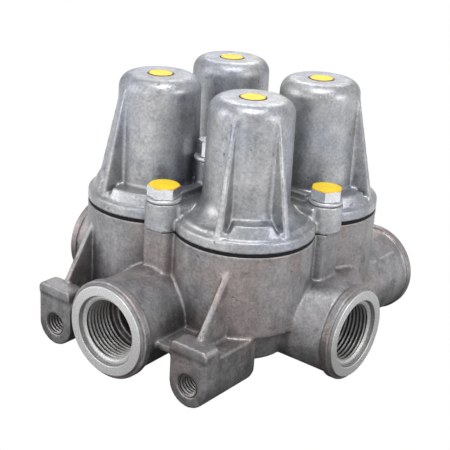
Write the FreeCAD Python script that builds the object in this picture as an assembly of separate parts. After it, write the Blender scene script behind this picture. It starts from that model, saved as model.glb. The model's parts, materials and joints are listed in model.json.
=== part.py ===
import FreeCAD, Part
import math
import os
from FreeCAD import Vector

# Four circuit protection valve for compressed air brakes, in millimetres.
# A cast housing carries five threaded ports, a cast cover carries four spring towers, and a lobed
# rubber sheet seals the two. Each circuit has an overflow valve in its tower and a check valve.
# Origin: on the axis between the four towers, at the flat underside. +Z up, -Y to the supply port.

# Layout of the towers and of the lobed outline round them
tower_offset = 20.2
lobe_radius = 24.5
lobe_floor = 25.0
deck = 54.5
sheet_thickness = 1.2
sheet_inset = 0.35

# Underside
hub_lobe_radius = 20.5
hub_floor = 14.0
hub_draft = 2.0
foot_radius = 21.5
foot_chamfer = 1.2

# Spring towers of the cover; two diagonal ones stand on a wide flare, the other two between pads
tower_height = 45.9
tower_top_radius = 14.5
tower_foot_radius = 15.1
tower_shoulder = 5.0
wide_flare = 6.4
narrow_flare = 2.4
tower_bore_radius = 11.9
tower_roof = 6.2

# Flange of the cover
rim_height = 3.9
rim_chamfer = 0.5
platform_radius = 22.7
platform_height = 1.6
platform_draft = 0.6

# Two radial fins on the outer side of each tower, either side of its outward diagonal
fin_angle = 30.0
fin_foot_thickness = 2.9
fin_head_thickness = 1.7
fin_head_drop = 5.0
fin_head_reach = 14.9
fin_foot_reach = 23.2

# Raised pads on the flange: one between the fins, and on two towers also beside them
pad_radius = 22.0
pad_draft = 1.0
pad_half_width = 7.6
pad_side_draft = 1.3
pad_height = 4.5
side_pad_height = 4.2
side_pad_start = 31.0
side_pad_corner = 41.0
side_pad_end = 96.0

# Cover bolts, one between each two towers, set back from the outer line of the lobes
bolt_inset = 5.4
bolt_radius = 3.0
bolt_clearance = 0.3
bolt_thread_depth = 15.0
bolt_hex = 10.0
bolt_head = 4.1
bolt_crown = 0.2
bolt_end_gap = 1.0
bolt_turns = (11.0, 29.0, 5.0, 17.0)
washer_radius = 6.0
washer_thickness = 1.3
boss_radius = 6.3
boss_rise = 10.4
boss_joint_gap = 0.3
boss_joint_rise = 0.7
boss_land_width = 15.0
boss_land_height = 4.2
boss_web_width = 4.0
boss_web_height = 6.6
boss_web_gap = 0.8
pillar_inset = 1.1
pillar_foot = 31.0

# Inner bolts, between the two front towers and between the two rear towers
inner_bolt_offset = 15.6
inner_bolt_radius = 2.5
inner_bolt_thread_depth = 13.0
inner_bolt_hex = 8.0
inner_bolt_head = 5.6
inner_washer_radius = 5.5
inner_washer_thickness = 1.4
inner_boss_radius = 4.9
inner_boss_rise = 18.5

# Ports: thread, seal recess, machined ring and cast collar are the same on all five
port_thread_radius = 11.0
port_thread_depth = 15.0
port_recess_radius = 12.5
port_recess_depth = 1.8
port_ring_radius = 15.75
port_ring_height = 1.4
port_collar_radius = 17.2
port_collar_length = 2.8
port_neck_radius = 16.4
port_root_radius = 15.8
port_corner_gap = 0.02
supply_face = 66.5
supply_height = 24.9
delivery_height = 20.6
right_face = 57.4
left_face = 68.6
side_root_half_width = 22.3
side_root_top = 38.0
side_root_bottom = 11.4
side_root_top_corner = 11.0
side_root_bottom_corner = 9.0
side_root_inset = 0.6
side_root_length = 9.2
rear_face = 58.6
rear_offset = 29.8

# Air ways inside the housing
supply_bore_radius = 8.0
supply_bore_end = 5.0
gallery_radius = 5.0
inlet_radius = 6.0
outlet_radius = 5.5

# Overflow valve seat and its chamber, measured down from the deck
chamber_radius = 12.6
chamber_depth = 12.5
seat_outer_radius = 7.6
seat_drop = 6.5
bead_outer_radius = 14.5
bead_inner_radius = 12.7
bead_fit = 0.1
bead_depth = 1.5

# Moving parts of the overflow valve
valve_travel = 2.2
rubber_radius = 9.0
rubber_thickness = 2.4
rubber_fit = 0.05
rubber_proud = 0.9
piston_cup_radius = 10.0
piston_web = 2.2
piston_disc_radius = 8.6
piston_disc_thickness = 2.6
stem_radius = 3.0
stem_fit = 0.05
stem_length = 4.8
diaphragm_thickness = 2.0
diaphragm_sink = 0.8
fold_start = 0.4
fold_rise = 0.8
fold_crest = 1.0
fold_edge = 0.2
fold_dip = 0.4
clamp_slope = 0.6
plate_boss_height = 3.2
plate_radius = 11.2
plate_thickness = 2.0
spigot_radius = 7.0
spigot_height = 2.6
spigot_taper = 0.6

# Pressure spring, its upper seat and the adjusting screw
spring_drop = 10.6
spring_wire = 3.2
spring_mean_radius = 9.1
spring_turns = 5.0
wire_sides = 8
seat_plate_radius = 11.3
seat_plate_thickness = 2.0
screw_radius = 4.35
screw_fit = 0.05
screw_drop = 2.4
socket_hex = 4.0
socket_depth = 2.4

# Check valve in the way from the chamber to the delivery port
check_reach = 14.5
check_pocket_radius = 5.5
check_room_drop = 8.0
check_room_height = 5.5
check_seat_thickness = 3.0
check_seat_radius = 3.8
check_pocket_depth = 9.6
check_ledge_hole = 3.2
check_disc_radius = 5.2
check_disc_thickness = 1.6
check_guide_radius = 3.0
check_guide_length = 3.0
check_travel = 2.0
check_spring_wire = 0.9
check_spring_mean_radius = 4.2
check_spring_turns = 4.0

# Mounting ears on both sides of the supply port: a machined face, a cast lip over it and a body behind
ear_face = 60.1
ear_inner = 23.1
ear_outer = 38.7
ear_hole_offset = 30.9
ear_hole_height = 14.1
ear_hole_radius = 4.0
ear_hole_depth = 16.0
ear_top = 28.9
ear_top_corner = 2.4
ear_lip_height = 24.8
ear_lip = 0.5
ear_plate_back = 53.4
ear_slope = 3.4
ear_body_top = 25.2
ear_back = 33.4
ear_web_front = 59.4
ear_web_drop = 0.4
ear_web_thickness = 2.4
rib_side = 31.8
rib_thickness = 2.2
rib_drop = 5.3
rib_foot_reach = 55.2
rib_root = 38.0
rib_crest = 4.0

# Values worked out from the sizes above
lobe_reach = tower_offset + lobe_radius
bolt_offset = lobe_reach - bolt_inset
pillar_flat = lobe_reach - pillar_inset
cover_base = deck + sheet_thickness
tower_top = cover_base + tower_height
rim_top = cover_base + rim_height
platform_top = rim_top + platform_height
fin_top = tower_top - fin_head_drop
boss_top = deck + boss_rise
boss_joint = deck + boss_joint_rise
inner_boss_top = cover_base + inner_boss_rise
bolt_thread_end = deck - bolt_thread_depth
inner_bolt_thread_end = deck - inner_bolt_thread_depth
chamber_floor = deck - chamber_depth
seat_top = deck - seat_drop
spring_top = tower_top - spring_drop
screw_top = tower_top - screw_drop
check_room_top = deck - check_room_drop
check_seat = check_room_top - check_room_height - check_seat_thickness
check_ledge = check_seat - check_pocket_depth
rib_top = deck - rib_drop
roof_underside = tower_top - tower_roof
bead_floor = deck - bead_depth
diaphragm_bottom = cover_base - diaphragm_sink
diaphragm_top = diaphragm_bottom + diaphragm_thickness
plate_bottom = diaphragm_top
plate_top = plate_bottom + plate_boss_height + plate_thickness
seat_plate_top = spring_top + seat_plate_thickness

# Each circuit: the signs of its tower's place, and its delivery port as axis, face and sideways place
circuits = {
    "21": (-1, -1, Vector(-1, 0, 0), left_face, 0.0),
    "22": (1, -1, Vector(1, 0, 0), right_face, 0.0),
    "23": (1, 1, Vector(0, 1, 0), rear_face, rear_offset),
    "24": (-1, 1, Vector(0, 1, 0), rear_face, -rear_offset),
}
flared_towers = ("22", "24")
bolt_places = [(0, -bolt_offset), (bolt_offset, 0), (0, bolt_offset), (-bolt_offset, 0)]
inner_bolt_places = [(0, -inner_bolt_offset), (0, inner_bolt_offset)]


def rod(radius, low, high, x=0.0, y=0.0):
    """Upright cylinder between two heights."""
    return Part.makeCylinder(radius, high - low, Vector(x, y, low))


def taper(low_radius, high_radius, low, high, x=0.0, y=0.0):
    """Upright cone frustum between two heights."""
    return Part.makeCone(low_radius, high_radius, high - low, Vector(x, y, low))


def bar(radius, start, end):
    """Cylinder from one point to another."""
    way = end - start
    return Part.makeCylinder(radius, way.Length, start, way)


def block(low, high):
    """Box between two corners."""
    size = high - low
    return Part.makeBox(size.x, size.y, size.z, low)


def fused(shapes):
    """One solid from several that touch or overlap."""
    whole = shapes[0].multiFuse(shapes[1:])
    return whole.removeSplitter()


def cut(shape, tools):
    """The shape with all tools taken away."""
    return shape.cut(Part.makeCompound(tools)).removeSplitter()


def turned(points, x=0.0, y=0.0):
    """Solid of revolution about an upright axis, from radius and height pairs."""
    corners = [Vector(radius, 0, height) for radius, height in points]
    outline = Part.makePolygon(corners + corners[:1])
    solid = Part.Face(outline).revolve(Vector(0, 0, 0), Vector(0, 0, 1), 360)
    solid.translate(Vector(x, y, 0))
    return solid


def hexagon(across_flats, low, high, x, y, turn=0.0):
    """Upright hexagonal prism, turned by some degrees."""
    corner = across_flats / math.sqrt(3)
    steps = [math.radians(60 * step + 30 + turn) for step in range(7)]
    corners = [Vector(x + corner * math.cos(a), y + corner * math.sin(a), low) for a in steps]
    return Part.Face(Part.makePolygon(corners)).extrude(Vector(0, 0, high - low))


def coil(mean_radius, wire, turns, low, high, x, y):
    """Compression spring between two seats, its round wire drawn with flat sides."""
    rise = high - low - wire
    path = Part.makeHelix(rise / turns, rise, mean_radius)
    steps = [math.radians(360 / wire_sides * step) for step in range(wire_sides)]
    half = wire / 2
    corners = [Vector(mean_radius + half * math.cos(a), 0, half * math.sin(a)) for a in steps]
    section = Part.makePolygon(corners + corners[:1])
    solid = Part.Wire(path.Edges).makePipeShell([section], True, True)
    solid.translate(Vector(x, y, low + wire / 2))
    return solid


def tower_place(circuit):
    """Axis of a circuit's tower."""
    side_x, side_y = circuits[circuit][:2]
    return side_x * tower_offset, side_y * tower_offset


def at_tower(shape, circuit):
    """Shape drawn outwards along +X, turned and moved to the outer side of a circuit's tower."""
    side_x, side_y = circuits[circuit][:2]
    x, y = tower_place(circuit)
    placed = shape.copy()
    placed.rotate(Vector(0, 0, 0), Vector(0, 0, 1), math.degrees(math.atan2(side_y, side_x)))
    placed.translate(Vector(x, y, 0))
    return placed


def lobes(radius, low, high, top_radius=None):
    """Four round lobes about the tower axes, joined in the middle."""
    upper = radius if top_radius is None else top_radius
    rounds = []
    for circuit in circuits:
        x, y = tower_place(circuit)
        if upper == radius:
            rounds.append(rod(radius, low, high, x, y))
        else:
            rounds.append(taper(radius, upper, low, high, x, y))
    core = block(Vector(-tower_offset, -tower_offset, low), Vector(tower_offset, tower_offset, high))
    return fused(rounds + [core])


def tower_body(circuit):
    """Tapered tower with a rounded shoulder and a flared foot."""
    shoulder = Vector(tower_top_radius - tower_shoulder, 0, tower_top - tower_shoulder)
    rise = tower_shoulder * math.sin(math.radians(45))
    flare = wide_flare if circuit in flared_towers else narrow_flare
    foot = Vector(tower_foot_radius, 0, platform_top + flare)
    flare_centre = foot + Vector(flare, 0, 0)
    dip = flare * math.sin(math.radians(45))
    points = [
        Vector(0, 0, cover_base),
        Vector(tower_foot_radius + flare, 0, cover_base),
        Vector(tower_foot_radius + flare, 0, platform_top),
        foot,
        Vector(tower_top_radius, 0, shoulder.z),
        Vector(shoulder.x, 0, tower_top),
        Vector(0, 0, tower_top),
    ]
    edges = [
        Part.makeLine(points[0], points[1]),
        Part.makeLine(points[1], points[2]),
        Part.Arc(points[2], flare_centre + Vector(-dip, 0, -dip), points[3]).toShape(),
        Part.makeLine(points[3], points[4]),
        Part.Arc(points[4], shoulder + Vector(rise, 0, rise), points[5]).toShape(),
        Part.makeLine(points[5], points[6]),
        Part.makeLine(points[6], points[0]),
    ]
    solid = Part.Face(Part.Wire(edges)).revolve(Vector(0, 0, 0), Vector(0, 0, 1), 360)
    x, y = tower_place(circuit)
    solid.translate(Vector(x, y, 0))
    return solid


def slab(low, high, low_half, high_half, low_reach, high_reach):
    """Upright slab that starts inside the tower's wall and narrows upwards."""
    sections = []
    for height, half, reach in ((low, low_half, low_reach), (high, high_half, high_reach)):
        corners = [
            Vector(tower_bore_radius, -half, height),
            Vector(reach, -half, height),
            Vector(reach, half, height),
            Vector(tower_bore_radius, half, height),
        ]
        sections.append(Part.makePolygon(corners + corners[:1]))
    return Part.makeLoft(sections, True, True)


def fin(side):
    """One radial fin, drawn on the tower's axis beside the outward direction +X."""
    foot = fin_foot_thickness / 2
    head = fin_head_thickness / 2
    base = slab(cover_base, rim_top, foot, foot, fin_foot_reach, fin_foot_reach)
    slope = slab(rim_top, fin_top, foot, head, fin_foot_reach, fin_head_reach)
    whole = fused([base, slope])
    whole.rotate(Vector(0, 0, 0), Vector(0, 0, 1), side * fin_angle)
    return whole


def pad():
    """Raised pad between the fins, with a round outer side and drafted ends."""
    top = rim_top + pad_height
    low = rim_top
    disc = taper(pad_radius + pad_draft, pad_radius - pad_draft, low, top)
    width = pad_half_width + pad_side_draft
    wedge = slab(low, top, width, pad_half_width - pad_side_draft, lobe_radius, lobe_radius)
    return disc.common(wedge)


def side_pad(side):
    """Raised pad beside a fin, reaching round to the bolt's boss."""
    top = rim_top + side_pad_height
    low = rim_top
    disc = taper(pad_radius + pad_draft, pad_radius - pad_draft, low, top)
    middle = (side_pad_corner + side_pad_end) / 2
    places = [
        (tower_bore_radius, side_pad_start),
        (lobe_radius, side_pad_corner),
        (2 * lobe_radius, middle),
        (lobe_radius, side_pad_end),
        (tower_bore_radius, side_pad_end),
    ]
    corners = []
    for reach, angle in places:
        turn = math.radians(side * angle)
        corners.append(Vector(reach * math.cos(turn), reach * math.sin(turn), low))
    prism = Part.Face(Part.makePolygon(corners + corners[:1])).extrude(Vector(0, 0, top - low))
    return disc.common(prism)


def tower_fins(circuit):
    """Fins and pads of one tower."""
    pieces = [fin(-1), fin(1), pad()]
    if circuit not in flared_towers:
        pieces.extend([side_pad(-1), side_pad(1)])
    return [at_tower(piece, circuit) for piece in pieces]


def beam(x, y, inner, width, low, high):
    """Block of some width from a bolt's place inwards to a distance from the middle."""
    inward = Vector(-x, -y, 0).normalize()
    across = Vector(-inward.y, inward.x, 0) * (width / 2)
    start = Vector(x, y, 0) - across
    end = inward * -inner + across
    corner = Vector(min(start.x, end.x), min(start.y, end.y), low)
    far_corner = Vector(max(start.x, end.x), max(start.y, end.y), high)
    return block(corner, far_corner)


def cross(length, width, top):
    """Two crossing beams on the flange, from its middle towards the four bolts."""
    far = Vector(length, width / 2, 0)
    beams = []
    for reach in (far, Vector(far.y, far.x, 0)):
        beams.append(block(Vector(-reach.x, -reach.y, cover_base), Vector(reach.x, reach.y, top)))
    return beams


def cover_bosses():
    """Bolt bosses between the lobes, joined by a raised land and by webs between the towers."""
    web_length = bolt_offset - washer_radius - boss_web_gap
    pieces = cross(bolt_offset, boss_land_width, rim_top + boss_land_height)
    pieces.extend(cross(web_length, boss_web_width, rim_top + boss_web_height))
    for x, y in bolt_places:
        pieces.append(rod(boss_radius, boss_joint, boss_top, x, y))
    for x, y in inner_bolt_places:
        pieces.append(rod(inner_boss_radius, cover_base, inner_boss_top, x, y))
    return pieces


def spring_cover():
    """Cast cover: lobed flange, four towers with fins, and bolt bosses."""
    solids = [lobes(lobe_radius, cover_base, rim_top - rim_chamfer)]
    solids.append(lobes(lobe_radius, rim_top - rim_chamfer, rim_top, lobe_radius - rim_chamfer))
    solids.append(lobes(platform_radius, rim_top, platform_top, platform_radius - platform_draft))
    for circuit in circuits:
        solids.append(tower_body(circuit))
        solids.extend(tower_fins(circuit))
    solids.extend(cover_bosses())
    holes = []
    for circuit in circuits:
        x, y = tower_place(circuit)
        holes.append(rod(tower_bore_radius, cover_base, roof_underside, x, y))
        holes.append(rod(screw_radius + screw_fit, roof_underside, tower_top, x, y))
    for x, y in bolt_places:
        holes.append(rod(bolt_radius + bolt_clearance, boss_joint, boss_top, x, y))
    for x, y in inner_bolt_places:
        holes.append(rod(inner_bolt_radius + bolt_clearance, cover_base, inner_boss_top, x, y))
    return cut(fused(solids), holes)


def port_body(axis, face, sideways, height, root):
    """Neck, cast collar and machined ring of one port; the neck starts at root along the axis."""
    side = Vector(-axis.y, axis.x, 0) if axis.x else Vector(1, 0, 0)
    centre = side * sideways + Vector(0, 0, height)
    collar_back = face - port_ring_height - port_collar_length
    neck_start = centre + axis * root
    neck = Part.makeCone(port_root_radius, port_neck_radius, collar_back - root, neck_start, axis)
    collar = Part.makeCylinder(port_collar_radius, port_collar_length, centre + axis * collar_back, axis)
    ring_back = centre + axis * (face - port_ring_height)
    ring = Part.makeCylinder(port_ring_radius, port_ring_height, ring_back, axis)
    return [neck, collar, ring]


def port_bore(axis, face, sideways, height):
    """Threaded hole and seal recess of one port."""
    side = Vector(-axis.y, axis.x, 0) if axis.x else Vector(1, 0, 0)
    mouth = side * sideways + Vector(0, 0, height) + axis * face
    thread = Part.makeCylinder(port_thread_radius, port_thread_depth, mouth, axis * -1)
    recess = Part.makeCylinder(port_recess_radius, port_recess_depth, mouth, axis * -1)
    return [thread, recess]


def rounded_section(reach, half_width, bottom, top, low_corner, high_corner):
    """Closed outline across the X axis with rounded corners, wider than high or round."""
    bend = math.sin(math.radians(45))
    edges = []
    ends = []
    for side, height, lift, corner in (
        (1, bottom, 1, low_corner),
        (1, top, -1, high_corner),
        (-1, top, -1, high_corner),
        (-1, bottom, 1, low_corner),
    ):
        centre = Vector(reach, side * (half_width - corner), height + lift * corner)
        flat = centre + Vector(0, 0, -lift * corner)
        upright = centre + Vector(0, side * corner, 0)
        middle = centre + Vector(0, side * corner * bend, -lift * corner * bend)
        first, last = (flat, upright) if side == lift else (upright, flat)
        edges.append(Part.Arc(first, middle, last).toShape())
        ends.append((first, last))
    outline = []
    for number, edge in enumerate(edges):
        outline.append(edge)
        start = ends[number][1]
        end = ends[(number + 1) % len(ends)][0]
        if start.distanceToPoint(end) > port_corner_gap:
            outline.append(Part.makeLine(start, end))
    return Part.Wire(outline)


def side_root(axis):
    """Wide root that carries a side port's neck over both lobes, drawn in to the round neck."""
    shoulder = lobe_reach - side_root_inset
    mouth = shoulder + side_root_length
    span = (side_root_half_width, side_root_bottom, side_root_top)
    wide = span + (side_root_bottom_corner, side_root_top_corner)
    corner = port_neck_radius - port_corner_gap
    low = delivery_height - port_neck_radius
    high = delivery_height + port_neck_radius
    sections = [
        rounded_section(tower_offset, *wide),
        rounded_section(shoulder, *wide),
        rounded_section(mouth, port_neck_radius, low, high, corner, corner),
    ]
    solid = fused([
        Part.makeLoft(sections[:2], True, True),
        Part.makeLoft(sections[1:], True, True),
    ])
    solid.rotate(Vector(0, 0, 0), Vector(0, 0, 1), math.degrees(math.atan2(axis.y, axis.x)))
    return solid


def ear_block(side, front, back, top, corner):
    """Upright block of an ear with a round bottom and rounded upper corners."""
    inner = side * ear_inner
    outer = side * ear_outer
    low_x, high_x = min(inner, outer), max(inner, outer)
    middle = (low_x + high_x) / 2
    radius = (high_x - low_x) / 2
    bend = corner * (1 - math.sin(math.radians(45)))
    foot = ear_hole_height
    points = [
        Vector(high_x, -front, foot),
        Vector(high_x, -front, top - corner),
        Vector(high_x - bend, -front, top - bend),
        Vector(high_x - corner, -front, top),
        Vector(low_x + corner, -front, top),
        Vector(low_x + bend, -front, top - bend),
        Vector(low_x, -front, top - corner),
        Vector(low_x, -front, foot),
        Vector(middle, -front, foot - radius),
    ]
    outline = Part.Wire([
        Part.makeLine(points[0], points[1]),
        Part.Arc(points[1], points[2], points[3]).toShape(),
        Part.makeLine(points[3], points[4]),
        Part.Arc(points[4], points[5], points[6]).toShape(),
        Part.makeLine(points[6], points[7]),
        Part.Arc(points[7], points[8], points[0]).toShape(),
    ])
    return Part.Face(outline).extrude(Vector(0, front - back, 0))


def ear(side):
    """Mounting ear: plate with a lip over its machined face, lower body behind it and a sloping rib."""
    plate = ear_block(side, ear_face + ear_lip, ear_plate_back, ear_top, ear_top_corner)
    reach = 2 * ear_outer
    face_cut = block(Vector(-reach, -ear_face - 2 * ear_lip, 0), Vector(reach, -ear_face, ear_lip_height))
    body = ear_block(side, ear_face, ear_back, ear_body_top, ear_lip)
    low_x = min(side * ear_inner, side * ear_outer) + ear_top_corner
    width = ear_outer - ear_inner - 2 * ear_top_corner
    slope = [
        Vector(low_x, -ear_plate_back, ear_body_top - ear_lip),
        Vector(low_x, -ear_plate_back, ear_top),
        Vector(low_x, -ear_plate_back + ear_slope, ear_body_top),
        Vector(low_x, -ear_plate_back + ear_slope, ear_body_top - ear_lip),
    ]
    ramp = Part.Face(Part.makePolygon(slope + slope[:1])).extrude(Vector(width, 0, 0))
    rib_start = min(side * rib_side, side * (rib_side - rib_thickness))
    corners = [
        Vector(rib_start, -rib_root, lobe_floor),
        Vector(rib_start, -rib_foot_reach, lobe_floor),
        Vector(rib_start, -rib_foot_reach, ear_top),
        Vector(rib_start, -rib_root - rib_crest, rib_top),
        Vector(rib_start, -rib_root, rib_top),
    ]
    rib = Part.Face(Part.makePolygon(corners + corners[:1])).extrude(Vector(rib_thickness, 0, 0))
    return [plate.cut(face_cut), body, ramp, rib, ear_web(side)]


def ear_web(side):
    """Level web that closes the gap between the supply port's neck, an ear and the lobe."""
    top = lobe_floor - ear_web_drop
    neck = side * (port_root_radius - ear_web_thickness)
    inner = side * (ear_inner + ear_web_thickness)
    low = Vector(min(neck, inner), -ear_web_front, top - ear_web_thickness)
    high = Vector(max(neck, inner), -ear_back, top)
    return block(low, high)


def ear_hole(side):
    """Threaded hole in one ear."""
    mouth = Vector(side * ear_hole_offset, -ear_face, ear_hole_height)
    return Part.makeCylinder(ear_hole_radius, ear_hole_depth, mouth, Vector(0, 1, 0))


def pillars():
    """Pillars under the cover's bolt bosses, flat on their outer side."""
    pieces = []
    reach = pillar_flat
    bounds = block(Vector(-reach, -reach, 0), Vector(reach, reach, tower_top))
    for x, y in bolt_places:
        column = rod(boss_radius, pillar_foot, boss_joint - boss_joint_gap, x, y)
        pieces.append(column.common(bounds))
        pieces.append(beam(x, y, tower_offset, 2 * boss_radius, pillar_foot, deck))
    return pieces


def check_place(circuit):
    """Axis of a circuit's check valve, on the way from its tower to its delivery port."""
    axis, face, sideways = circuits[circuit][2:]
    tower = Vector(*tower_place(circuit), 0)
    side = Vector(0, 0, 0) if axis.x else Vector(1, 0, 0)
    bore_end = side * sideways + axis * (face - port_thread_depth)
    way = (bore_end - tower).normalize()
    place = tower + way * check_reach
    return place, bore_end


def circuit_ways(circuit):
    """Chamber, seat passage, gallery and check valve pocket of one circuit."""
    x, y = tower_place(circuit)
    seat_post = rod(seat_outer_radius, chamber_floor, seat_top, x, y)
    ring = cut(rod(chamber_radius, chamber_floor, deck, x, y), [seat_post])
    inlet = rod(inlet_radius, supply_height, seat_top, x, y)
    gallery = bar(gallery_radius, Vector(0, 0, supply_height), Vector(x, y, supply_height))
    bead = rod(bead_outer_radius + bead_fit, bead_floor, deck, x, y)
    place, bore_end = check_place(circuit)
    pocket = rod(check_pocket_radius, check_ledge, check_seat, place.x, place.y)
    seat = rod(check_seat_radius, check_seat, check_seat + check_seat_thickness, place.x, place.y)
    room = rod(check_pocket_radius, check_seat + check_seat_thickness, check_room_top, place.x, place.y)
    drop = rod(check_ledge_hole, delivery_height, check_ledge, place.x, place.y)
    level = Vector(0, 0, delivery_height)
    inward = (place - bore_end).normalize()
    outlet_start = place + inward * outlet_radius + level
    outlet_end = bore_end - inward * outlet_radius + level
    outlet = bar(outlet_radius, outlet_start, outlet_end)
    return [ring, inlet, gallery, bead, pocket, seat, room, drop, outlet]


def lower_housing():
    """Cast housing: lobed body, underside, ports, ears and pillars, with its air ways."""
    supply_axis = Vector(0, -1, 0)
    body = lobes(lobe_radius, lobe_floor, deck)
    hub = lobes(hub_lobe_radius - hub_draft, hub_floor, lobe_floor, hub_lobe_radius)
    foot = rod(foot_radius, foot_chamfer, hub_floor)
    foot_edge = taper(foot_radius - foot_chamfer, foot_radius, 0, foot_chamfer)
    solids = [body, hub, foot, foot_edge]
    solids.extend(pillars())
    solids.extend(port_body(supply_axis, supply_face, 0.0, supply_height, tower_offset))
    tools = port_bore(supply_axis, supply_face, 0.0, supply_height)
    for circuit, (side_x, side_y, axis, face, sideways) in circuits.items():
        solids.extend(port_body(axis, face, sideways, delivery_height, tower_offset))
        if axis.x:
            solids.append(side_root(axis))
        tools.extend(port_bore(axis, face, sideways, delivery_height))
        tools.extend(circuit_ways(circuit))
    for side in (-1, 1):
        solids.extend(ear(side))
        tools.append(ear_hole(side))
    supply_start = Vector(0, -supply_face + port_thread_depth, supply_height)
    tools.append(bar(supply_bore_radius, supply_start, Vector(0, supply_bore_end, supply_height)))
    for x, y in bolt_places:
        tools.append(rod(bolt_radius, bolt_thread_end, boss_joint, x, y))
    for x, y in inner_bolt_places:
        tools.append(rod(inner_bolt_radius, inner_bolt_thread_end, deck, x, y))
    return cut(fused(solids), tools)


def seal_sheet():
    """Lobed rubber sheet between housing and cover, open at the towers and the bolts."""
    sheet = lobes(lobe_radius - sheet_inset, deck, cover_base)
    tools = []
    for circuit in circuits:
        x, y = tower_place(circuit)
        tools.append(rod(bead_outer_radius + 2 * bead_fit, deck, cover_base, x, y))
    for x, y in bolt_places:
        tools.append(rod(boss_radius + bolt_clearance, deck, cover_base, x, y))
    for x, y in inner_bolt_places:
        tools.append(rod(inner_bolt_radius + bolt_clearance, deck, cover_base, x, y))
    return cut(sheet, tools)


def diaphragm(circuit):
    """Moulded rubber diaphragm: clamped bead, one convolution and a thick middle."""
    loop_outer = tower_bore_radius - bead_fit
    points = [
        (stem_radius + stem_fit, diaphragm_bottom),
        (piston_disc_radius + fold_start, diaphragm_bottom),
        (piston_disc_radius + fold_start + fold_rise, diaphragm_bottom + fold_rise),
        (loop_outer - fold_crest, diaphragm_bottom + fold_rise),
        (loop_outer - fold_edge, diaphragm_bottom - fold_dip),
        (bead_inner_radius, bead_floor + fold_crest),
        (bead_inner_radius, bead_floor),
        (bead_outer_radius, bead_floor),
        (bead_outer_radius, cover_base),
        (loop_outer, cover_base),
        (loop_outer - clamp_slope, diaphragm_top),
        (stem_radius + stem_fit, diaphragm_top),
    ]
    return turned(points, *tower_place(circuit))


def valve_piston(circuit):
    """Piston under the diaphragm: cup for the rubber disc, shoulder disc and stem."""
    rubber_top = seat_top + rubber_thickness
    cup_top = rubber_top + piston_web
    points = [
        (0, rubber_top),
        (rubber_radius + rubber_fit, rubber_top),
        (rubber_radius + rubber_fit, seat_top + rubber_proud),
        (piston_cup_radius, seat_top + rubber_proud),
        (piston_cup_radius, cup_top),
        (piston_disc_radius, cup_top),
        (piston_disc_radius, diaphragm_bottom),
        (stem_radius, diaphragm_bottom),
        (stem_radius, diaphragm_bottom + stem_length),
        (0, diaphragm_bottom + stem_length),
    ]
    return turned(points, *tower_place(circuit))


def valve_rubber(circuit):
    """Rubber disc that closes on the housing's seat."""
    x, y = tower_place(circuit)
    return rod(rubber_radius, seat_top, seat_top + rubber_thickness, x, y)


def spring_plate(circuit):
    """Lower spring plate that presses on the diaphragm's middle."""
    bore_top = diaphragm_bottom + stem_length + stem_fit
    points = [
        (stem_radius + stem_fit, plate_bottom),
        (piston_disc_radius, plate_bottom),
        (piston_disc_radius, plate_bottom + plate_boss_height),
        (plate_radius, plate_bottom + plate_boss_height),
        (plate_radius, plate_top),
        (spigot_radius, plate_top),
        (spigot_radius - spigot_taper, plate_top + spigot_height),
        (0, plate_top + spigot_height),
        (0, bore_top),
        (stem_radius + stem_fit, bore_top),
    ]
    return turned(points, *tower_place(circuit))


def spring_seat(circuit):
    """Upper spring seat under the adjusting screw."""
    points = [
        (0, spring_top - spigot_height),
        (spigot_radius - spigot_taper, spring_top - spigot_height),
        (spigot_radius, spring_top),
        (seat_plate_radius, spring_top),
        (seat_plate_radius, seat_plate_top),
        (0, seat_plate_top),
    ]
    return turned(points, *tower_place(circuit))


def adjusting_screw(circuit):
    """Adjusting screw through the tower's roof, with a hexagon socket."""
    x, y = tower_place(circuit)
    screw = rod(screw_radius, seat_plate_top, screw_top, x, y)
    socket = hexagon(socket_hex, screw_top - socket_depth, screw_top, x, y)
    return cut(screw, [socket])


def seal_plug(circuit):
    """Yellow sealing plug over the adjusting screw, flush with the tower's top."""
    x, y = tower_place(circuit)
    return rod(screw_radius, screw_top, tower_top, x, y)


def pressure_spring(circuit):
    """Pressure spring of the overflow valve."""
    x, y = tower_place(circuit)
    return coil(spring_mean_radius, spring_wire, spring_turns, plate_top, spring_top, x, y)


def check_valve(circuit):
    """Check valve disc with its spring guide."""
    place = check_place(circuit)[0]
    disc_bottom = check_seat - check_disc_thickness
    disc = rod(check_disc_radius, disc_bottom, check_seat, place.x, place.y)
    guide = rod(check_guide_radius, disc_bottom - check_guide_length, disc_bottom, place.x, place.y)
    return fused([disc, guide])


def check_spring(circuit):
    """Light spring that closes the check valve."""
    x, y = check_place(circuit)[0][:2]
    top = check_seat - check_disc_thickness
    return coil(check_spring_mean_radius, check_spring_wire, check_spring_turns, check_ledge, top, x, y)


def hex_bolt(hex_size, head_bottom, head_height, radius, end, x, y, turn=0.0):
    """Hexagon bolt with a chamfered head."""
    head_top = head_bottom + head_height
    head = hexagon(hex_size, head_bottom, head_top, x, y, turn)
    corner = hex_size / math.sqrt(3)
    crown = taper(corner + head_height, hex_size / 2 - bolt_crown, head_bottom, head_top, x, y)
    shank = rod(radius, end, head_bottom, x, y)
    return fused([head.common(crown), shank])


def cover_bolts():
    """Four bolts that hold the cover, one between each two towers."""
    end = bolt_thread_end + bolt_end_gap
    head = boss_top + washer_thickness
    radius = bolt_radius - screw_fit
    solids = []
    for (x, y), turn in zip(bolt_places, bolt_turns):
        solids.append(hex_bolt(bolt_hex, head, bolt_head, radius, end, x, y, turn))
    return Part.makeCompound(solids)


def inner_bolts():
    """Two smaller bolts between the towers."""
    end = inner_bolt_thread_end + bolt_end_gap
    head = inner_boss_top + inner_washer_thickness
    radius = inner_bolt_radius - screw_fit
    solids = []
    for x, y in inner_bolt_places:
        solids.append(hex_bolt(inner_bolt_hex, head, inner_bolt_head, radius, end, x, y))
    return Part.makeCompound(solids)


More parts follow.
